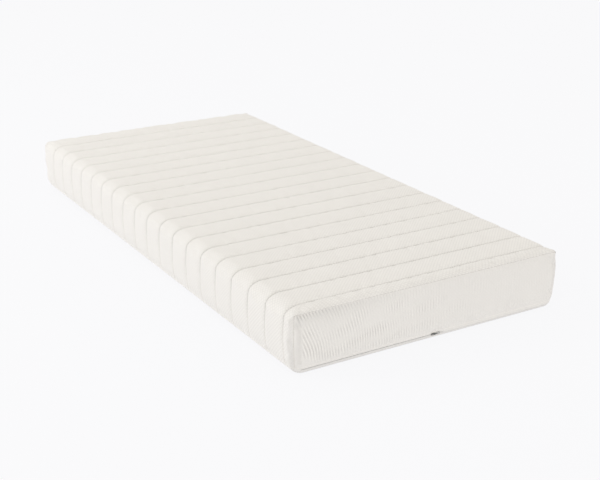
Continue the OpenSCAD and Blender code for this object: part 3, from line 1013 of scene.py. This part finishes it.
FLAT_IN = 24 * MM  # from the rounding to the plain grid of the underside
PAN_HEIGHTS = [ZIP_Z - LIP_GAP, 12.2 * MM, 11 * MM, 9.6 * MM, 8.2 * MM, RIM_STITCH_Z, 4.8 * MM, 3.1 * MM,
               1.7 * MM, 0.7 * MM, 0.15 * MM, 0.0]
pan_outline = Outline(even(HALF_W - SIDE_FOOT[0] - FLAT_IN, 61), even(HALF_L - END_FOOT[0] - FLAT_IN, 121))
pan_rings = [foot_ring(z) for z in PAN_HEIGHTS]
pan_corner = pan_rings[-1].r
for t in (0.7, 0.35):
    side, end = ((foot[0] + FLAT_IN * (1 - t), 0.0, 0.0, -1.0) for foot in (SIDE_FOOT, END_FOOT))
    pan_rings.append(Ring(3.0, side, end, pan_corner * t, 0.0))


def pan_surface(depth):
    parts = []
    for ring in pan_rings:
        recess, thick = lip(ring.end[1], 0.0, LIP_IN - ring.end[0])
        parts.append(ring.points(pan_outline, depth, depth * (1 - thick) - recess))
    return np.vstack([*parts, pan_outline.grid(depth)])


first = len(pan_rings) * pan_outline.count
pan_numbers = [*pan_outline.numbers(len(pan_rings)), first + pan_outline.flat_indices()]
outer = pan_surface(0.0)
faces = grid_faces(*pan_outline.size, first, down=True) + loft(pan_numbers)
shell = closed_shell(outer, pan_surface(TICKING_T), faces, level_uv(outer))
pan = piece("base_pan_cloth", "base", BASE_KNIT, "base_panel", *shell)
rim_row = PAN_HEIGHTS.index(RIM_STITCH_Z)
rim_path = closed_path(outer[pan_numbers[rim_row]], pan_rings[rim_row].facing(pan_outline))
sew("rim_stitches", "base", PALE_THREAD, "rim_topstitch", [rim_path], (0.1, *HEM_SIZE))

# ---- zip

TAPE_IN, TAPE_OUT = 1.7 * MM, 2.3 * MM
LOWER_TAPE_Z, UPPER_TAPE_Z = 4.0 * MM, (28.0 * MM, 16.8 * MM)
COIL_IN, COIL_OUT = 1.3 * MM, 3.2 * MM
ELEMENT_PITCH, ELEMENT_WIDE = 2.4 * MM, 1.0 * MM
ELEMENT_REACH = 1.2 * MM  # how far it reaches past its own row
LOWER_COIL, UPPER_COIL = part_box("lower_zip_coil"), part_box("upper_zip_coil")
ZIP_OUTLINE = Outline(even(FLAT_X, 61), even(FLAT_Y, 121))


def tape(name, body, cad, rings):
    outer, inner = (np.vstack([r.points(ZIP_OUTLINE, depth) for r in rings]) for depth in (TAPE_IN, TAPE_OUT))
    piece(name, body, TAPE, cad, *closed_shell(outer, inner, loft(ZIP_OUTLINE.numbers(len(rings)))))


def coil(name, body, cad, z0, z1, shift):
    """A row of nylon elements, small rounded bars that reach between those of the other row."""
    deep = COIL_OUT - COIL_IN
    line = foot_ring(z0).points(ZIP_OUTLINE, (COIL_IN + COIL_OUT) / 2)[:, :2]
    line, facing = closed_path(line, ZIP_OUTLINE.normal)
    run = run_length(line)
    n = int(run[-1] / ELEMENT_PITCH)
    at = (np.arange(n) + shift) * run[-1] / n
    p, f = read(line, run, at), unit(read(facing, run, at))
    # none between the stops, where the zip's two ends meet
    meeting = (p[:, 1] < -HALF_L + 5 * MM) & (p[:, 0] > 4.5 * MM) & (p[:, 0] < 24.5 * MM)
    p, f = p[~meeting], f[~meeting]
    t = np.stack([-f[:, 1], f[:, 0]], axis=1)
    root = ELEMENT_PITCH * 0.92 / ELEMENT_WIDE
    levels = [(0.0, root), (0.42, root), (0.58, 1.0), (0.9, 1.0), (1.0, 0.6)]
    if shift:
        levels = [(1 - level, size) for level, size in reversed(levels)]
    layers = []
    for level, size in levels:
        height = np.full(len(p), z0 + (z1 - z0) * level)
        for c, s in TURNS:
            xy = p + t * (0.5 * ELEMENT_WIDE * size * c) + f * (0.5 * deep * min(size, 1.0) * s)
            layers.append(np.column_stack([xy, height]))
    piece(name, body, NYLON, cad, *rods(layers))


tape("upper_zip_tape_woven", "hood", "upper_zip_tape",
     [wall_ring(3.0, z, z) for z in np.linspace(*UPPER_TAPE_Z, 6)])
tape("lower_zip_tape_woven", "base", "lower_zip_tape",
     [foot_ring(z) for z in (LOWER_COIL[0].z, 9.5 * MM, 8 * MM, 6 * MM, LOWER_TAPE_Z)])
coil("lower_zip_elements", "base", "lower_zip_coil", LOWER_COIL[0].z, LOWER_COIL[1].z + ELEMENT_REACH, 0.0)
coil("upper_zip_elements", "hood", "upper_zip_coil", UPPER_COIL[0].z - ELEMENT_REACH, UPPER_COIL[1].z, 0.5)
for name in ("lower_zip_stops", "upper_zip_stops", "zip_slider", "zip_pull"):
    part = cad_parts[name]
    part.data.materials.clear()
    part.data.materials.append(ENAMEL)

# ---- foam core


def block(low, high, r_top, r_bottom, r_corner, step, waver):
    """The points, faces and UVs of a closed foam block with rounded edges, its radii in millimetres. waver is
    how far its skin wanders inwards."""
    r_top, r_bottom, r_corner = r_top * MM, r_bottom * MM, r_corner * MM
    half = (high[0] - low[0]) / 2, (high[1] - low[1]) / 2
    inset = max(r_top, r_bottom) + 2 * MM
    outline = Outline(*(even(h - inset, int(2 * h / step)) for h in half), 8, keep=0)
    top, bottom = high[2] - r_top, low[2] + r_bottom
    angles = np.radians([0, 18, 36, 54, 72, 90])
    edge = [(1 - math.sin(a), math.cos(a), r_corner * math.sin(a)) for a in angles]
    levels = [(r_top * i, top + r_top * up, r) for i, up, r in edge]
    levels += [(0.0, z, r_corner) for z in np.linspace(top, bottom, 7)[1:-1]]
    levels += [(r_bottom * i, bottom - r_bottom * up, r) for i, up, r in reversed(edge)]
    rings = [np.column_stack([outline.places(half[0] - i, half[1] - i, r), np.full(outline.count, z)])
             for i, z, r in levels]
    caps = [outline.grid(high[2]), outline.grid(low[2])]
    verts = np.vstack(rings + caps)
    first, rim = len(rings) * outline.count, outline.flat_indices()
    second = first + len(caps[0])
    faces = grid_faces(*outline.size, first) + grid_faces(*outline.size, second, down=True)
    faces += loft([first + rim, *outline.numbers(len(rings)), second + rim])
    wander = unevenness(verts[:, 0] * 2 + verts[:, 2], verts[:, 1] * 2)
    verts[:, :2] *= 1 - waver * (0.5 + 0.5 * np.clip(wander, -1, 1))[:, None] / half[0]
    return verts, faces, level_uv(verts)


for cad, look, radii in (("support_foam", SUPPORT_FOAM, (1.5, 25)), ("memory_foam", MEMORY_FOAM, (31, 1.5))):
    form = block(*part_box(cad), *radii, 10, 22 * MM, 0.6 * MM)
    piece(f"{cad}_block", "core", look, cad, *form)

low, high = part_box("foam_sleeve")
thickness = Vector((1, 1, 1)) * MM
verts, faces, uv = block(low, high, 33, 27, 11, 14 * MM, 0.15 * MM)
inside, inside_faces, inside_uv = block(low + thickness, high - thickness, 32, 26, 10, 14 * MM, 0.15 * MM)
faces += [tuple(i + len(verts) for i in reversed(f)) for f in inside_faces]
verts, uv = np.vstack([verts, inside]), np.vstack([uv, inside_uv])
piece("foam_sleeve_knit", "core", SLEEVE_KNIT, "foam_sleeve", verts, faces, uv)

low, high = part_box("sleeve_closing_seam")
seam = np.array([(x, (low.y + high.y) / 2, low.z) for x in np.linspace(low.x, high.x, 60)])
seam_paths = [(seam, np.tile([0, 0, -1.0], (len(seam), 1)))]
sew("sleeve_closing_stitches", "core", PALE_THREAD, "sleeve_closing_seam", seam_paths, (-0.1, 4, 3.4, 1, 0.6))

# ---- care label on the head end

head = ends["head"].data
head_tree = BVHTree.FromPolygons([v.co for v in head.vertices], [tuple(p.vertices) for p in head.polygons])
low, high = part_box("care_label")


def head_points(xs, zs):
    """Places on the head end's cloth."""
    hit = lambda x, z: head_tree.ray_cast(Vector((x, HALF_L + 0.1, z)), Vector((0, -1, 0)))[0]
    return np.array([(x, hit(x, z).y, z) for z in zs for x in xs])


cloth = head_points(np.linspace(high.x, low.x, 25), np.linspace(low.z, high.z, 17))
front, back = (cloth + np.array([0, off * MM, 0]) for off in (0.75, 0.45))
label = piece("care_label_satin", "hood", SATIN, "care_label", *closed_shell(front, back, grid_faces(25, 17)))
EDGE_IN = 2.5 * MM
across = np.linspace(low.x + EDGE_IN, high.x - EDGE_IN, 15)
upward = np.linspace(low.z + EDGE_IN, high.z - EDGE_IN, 11)
rows = [(across, upward[:1]), (across, upward[-1:]), (across[:1], upward), (across[-1:], upward)]
paths = [(p, np.tile([0, 1.0, 0], (len(p), 1))) for p in (head_points(*row) for row in rows)]
size = 0.85, 3, 2.4, 0.6, 0.5
label_sewing = sew("label_stitches_sewn", "hood", PALE_THREAD, "label_stitches", paths, size)
